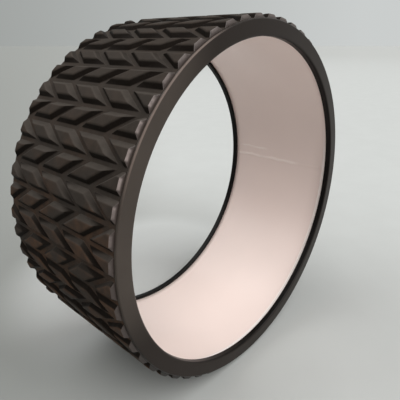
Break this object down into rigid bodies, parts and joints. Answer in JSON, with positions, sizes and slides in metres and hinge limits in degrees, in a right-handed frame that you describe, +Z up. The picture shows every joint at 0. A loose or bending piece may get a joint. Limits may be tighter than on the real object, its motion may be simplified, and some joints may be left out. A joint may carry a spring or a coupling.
{
  "type": "yoga wheel",
  "caption": "Upright yoga wheel: a wide plastic hoop in a dark foam-rubber tread with a raised herringbone of slanted blocks, and a smooth rubber ring on each edge.",
  "frame": {"origin": "centre of the wheel, on its axis and mid plane", "axes": "+Y along the wheel's axis, towards the rear edge ring; +Z up, as the wheel stands on its tread; +X to the right of the front edge ring"},
  "size_m": [0.3298, 0.143, 0.3298],
  "materials": {
    "hoop_plastic": "gloss",
    "bond_film": "matte",
    "tread_rubber": "matte",
    "edge_rubber": "satin"
  },
  "bodies": {
    "root": {"inner_hoop": "hoop_plastic", "bond_layer": "bond_film", "tread_band": "tread_rubber", "front_edge_ring": "edge_rubber", "rear_edge_ring": "edge_rubber"}
  },
  "joints": []
}
